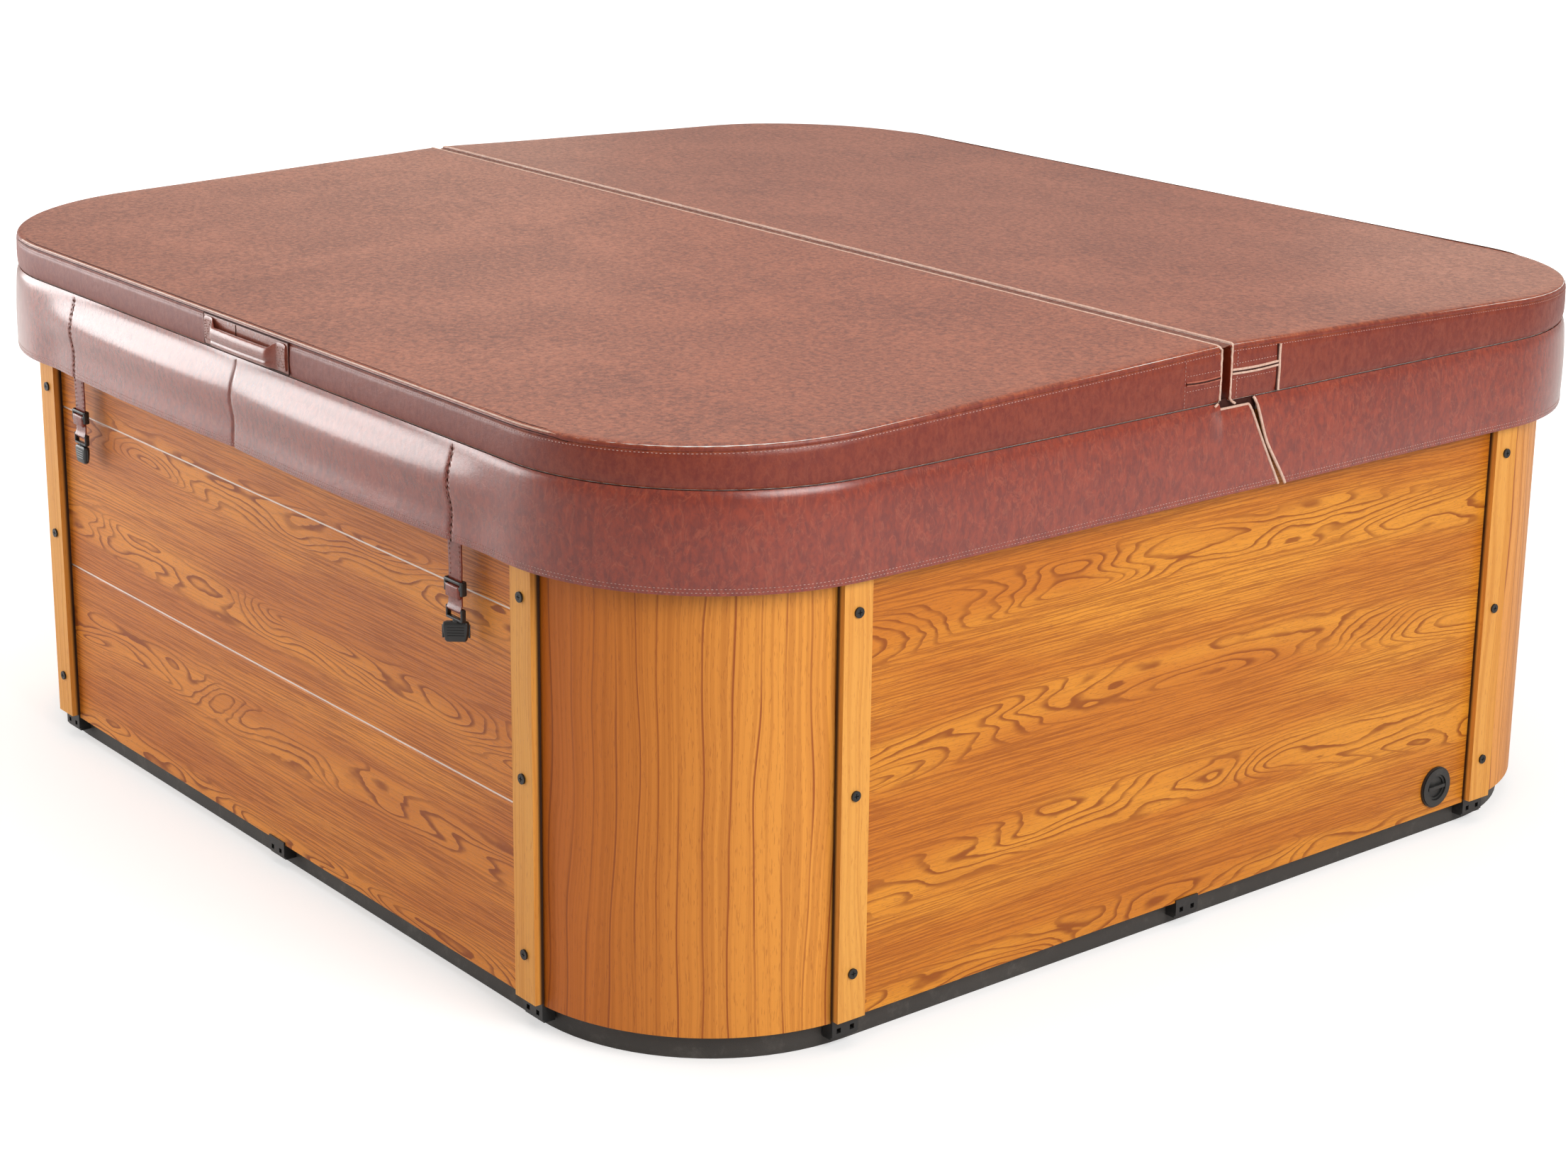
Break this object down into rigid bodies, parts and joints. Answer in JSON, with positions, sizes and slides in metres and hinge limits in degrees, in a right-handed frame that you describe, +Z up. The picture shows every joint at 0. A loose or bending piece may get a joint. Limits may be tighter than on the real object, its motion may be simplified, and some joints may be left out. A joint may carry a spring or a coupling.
{
  "type": "hot tub",
  "caption": "Square hot tub with round-cornered wood cabinet, trim battens, black base pan and a folding tapered vinyl cover with skirt, handle and straps.",
  "frame": {"origin": "centre of the footprint, on the floor", "axes": "+Z up, +X along the cover's hinge towards the drain valve's side, -Y towards the front with the handle and straps"},
  "size_m": [2.2488, 2.1625, 0.9643],
  "materials": {
    "base_plastic": "moulded, fine grain",
    "clip_plastic": "moulded",
    "frame_timber": "planed",
    "panel_wood": "oiled, satin, long cathedral grain",
    "corner_wood": "oiled, satin, upright narrow boards",
    "batten_wood": "oiled, satin, upright grain",
    "screw_black": "black coated",
    "shell_acrylic": "polished, faint pearl",
    "insulation_foil": "foil faced foam",
    "pillow_foam": "soft matt skin",
    "fitting_grey": "satin",
    "lens_clear": "ribbed",
    "control_black": "gloss",
    "button_grey": "satin",
    "filter_plastic": "moulded",
    "filter_fleece": "pleated fleece",
    "pump_plastic": "moulded, glass filled",
    "motor_paint": "ribbed, powder coated",
    "bare_steel": "brushed",
    "box_paint": "powder coated",
    "pipe_plastic": "extruded",
    "valve_black": "moulded",
    "cover_foam": "closed-cell foam",
    "cover_vinyl": "glossy marbled leathercloth",
    "buckle_plastic": "moulded"
  },
  "bodies": {
    "tub": {"base_pan": "base_plastic", "base_clips": "clip_plastic", "support_frame": "frame_timber", "front_panel": "panel_wood", "right_panel": "panel_wood", "back_panel": "panel_wood", "left_panel": "panel_wood", "corner_panel_front_right": "corner_wood", "corner_panel_back_right": "corner_wood", "corner_panel_back_left": "corner_wood", "corner_panel_front_left": "corner_wood", "corner_battens": "batten_wood", "batten_screws": "screw_black", "tub_shell": "shell_acrylic", "wall_insulation": "insulation_foil", "pillow_left": "pillow_foam", "pillow_right": "pillow_foam", "drain_grate": "bare_steel", "heater": "bare_steel", "suction_cover_left": "fitting_grey", "suction_cover_right": "fitting_grey", "fixed_jets": "fitting_grey", "rotary_jet_housings": "fitting_grey", "footwell_light": "lens_clear", "control_panel": "control_black", "filter_bucket": "filter_plastic", "filter_cartridge": "filter_fleece", "pump_wet_end": "pump_plastic", "pump_motor": "motor_paint", "control_box": "box_paint", "suction_pipes": "pipe_plastic", "return_pipes": "pipe_plastic", "drain_valve": "valve_black"},
    "cover_back": {"cover_core_back": "cover_foam", "cover_jacket_back": "cover_vinyl", "cover_skirt_back": "cover_vinyl", "cover_hinge": "cover_vinyl", "cover_channel_back": "bare_steel"},
    "cover_front": {"cover_core_front": "cover_foam", "cover_jacket_front": "cover_vinyl", "cover_skirt_front": "cover_vinyl", "cover_channel_front": "bare_steel", "cover_handle": "cover_vinyl"},
    "left_strap": {"strap_left": "cover_vinyl", "strap_slider_left": "buckle_plastic"},
    "right_strap": {"strap_right": "cover_vinyl", "strap_slider_right": "buckle_plastic"},
    "left_buckle": {"strap_buckle_left": "buckle_plastic"},
    "right_buckle": {"strap_buckle_right": "buckle_plastic"},
    "drain_cap": {"drain_cap": "valve_black"},
    "jets_button": {"jets_button": "button_grey"},
    "light_button": {"light_button": "button_grey"},
    "warmth_button": {"warmth_button": "button_grey"},
    "air_knob": {"air_knob": "fitting_grey"},
    "diverter_knob": {"diverter_knob": "fitting_grey"},
    "filter_lid": {"filter_lid": "fitting_grey"},
    "filter_weir": {"filter_weir": "filter_plastic"},
    "impeller": {"pump_impeller": "bare_steel"},
    "left_nozzle": {"rotary_nozzle_left": "fitting_grey"},
    "right_nozzle": {"rotary_nozzle_right": "fitting_grey"}
  },
  "joints": [
    {"name": "cover_lift", "type": "slide", "parent": "tub", "child": "cover_back", "axis": [0, 0, 1], "range_m": [0, 0.6]},
    {"name": "cover_fold", "type": "hinge", "parent": "cover_back", "child": "cover_front", "pos_m": [0, 0, 0.9653], "axis": [-1, 0, 0], "range_deg": [0, 180]},
    {"name": "left_strap_swing", "type": "hinge", "parent": "cover_front", "child": "left_strap", "pos_m": [-0.612, -1.06845, 0.7223], "axis": [-1, 0, 0], "range_deg": [0, 80]},
    {"name": "right_strap_swing", "type": "hinge", "parent": "cover_front", "child": "right_strap", "pos_m": [0.612, -1.06845, 0.7223], "axis": [-1, 0, 0], "range_deg": [0, 80]},
    {"name": "left_buckle_swing", "type": "hinge", "parent": "left_strap", "child": "left_buckle", "pos_m": [-0.612, -1.06845, 0.6183], "axis": [-1, 0, 0], "range_deg": [0, 90]},
    {"name": "right_buckle_swing", "type": "hinge", "parent": "right_strap", "child": "right_buckle", "pos_m": [0.612, -1.06845, 0.6183], "axis": [-1, 0, 0], "range_deg": [0, 90]},
    {"name": "drain_cap_turn", "type": "hinge", "parent": "tub", "child": "drain_cap", "pos_m": [1.092, 0.612, 0.09], "axis": [1, 0, 0], "range_deg": [0, 90]},
    {"name": "jets_button_press", "type": "slide", "parent": "tub", "child": "jets_button", "axis": [0, 0, -1], "range_m": [0, 0.0015], "stiffness_N_per_m": 400, "springref_m": -0.001},
    {"name": "light_button_press", "type": "slide", "parent": "tub", "child": "light_button", "axis": [0, 0, -1], "range_m": [0, 0.0015], "stiffness_N_per_m": 400, "springref_m": -0.001},
    {"name": "warmth_button_press", "type": "slide", "parent": "tub", "child": "warmth_button", "axis": [0, 0, -1], "range_m": [0, 0.0015], "stiffness_N_per_m": 400, "springref_m": -0.001},
    {"name": "air_knob_turn", "type": "hinge", "parent": "tub", "child": "air_knob", "pos_m": [-0.2, -0.883, 0.856], "axis": [0, 0, 1], "range_deg": [0, 180]},
    {"name": "diverter_knob_turn", "type": "hinge", "parent": "tub", "child": "diverter_knob", "pos_m": [0.2, -0.883, 0.856], "axis": [0, 0, 1], "range_deg": [0, 180]},
    {"name": "filter_lid_turn", "type": "hinge", "parent": "tub", "child": "filter_lid", "pos_m": [0, 0.8885, 0.856], "axis": [0, 0, 1], "range_deg": [0, 45]},
    {"name": "filter_weir_swing", "type": "hinge", "parent": "tub", "child": "filter_weir", "pos_m": [0, 0.809, 0.756], "axis": [-1, 0, 0], "range_deg": [0, 60]},
    {"name": "impeller_spin", "type": "hinge", "parent": "tub", "child": "impeller", "pos_m": [0, -0.742, 0.12], "axis": [1, 0, 0], "continuous": true},
    {"name": "left_nozzle_spin", "type": "hinge", "parent": "tub", "child": "left_nozzle", "pos_m": [-0.85, 0, 0.62], "axis": [1, 0, 0], "continuous": true},
    {"name": "right_nozzle_spin", "type": "hinge", "parent": "tub", "child": "right_nozzle", "pos_m": [0.85, 0, 0.62], "axis": [1, 0, 0], "continuous": true}
  ]
}
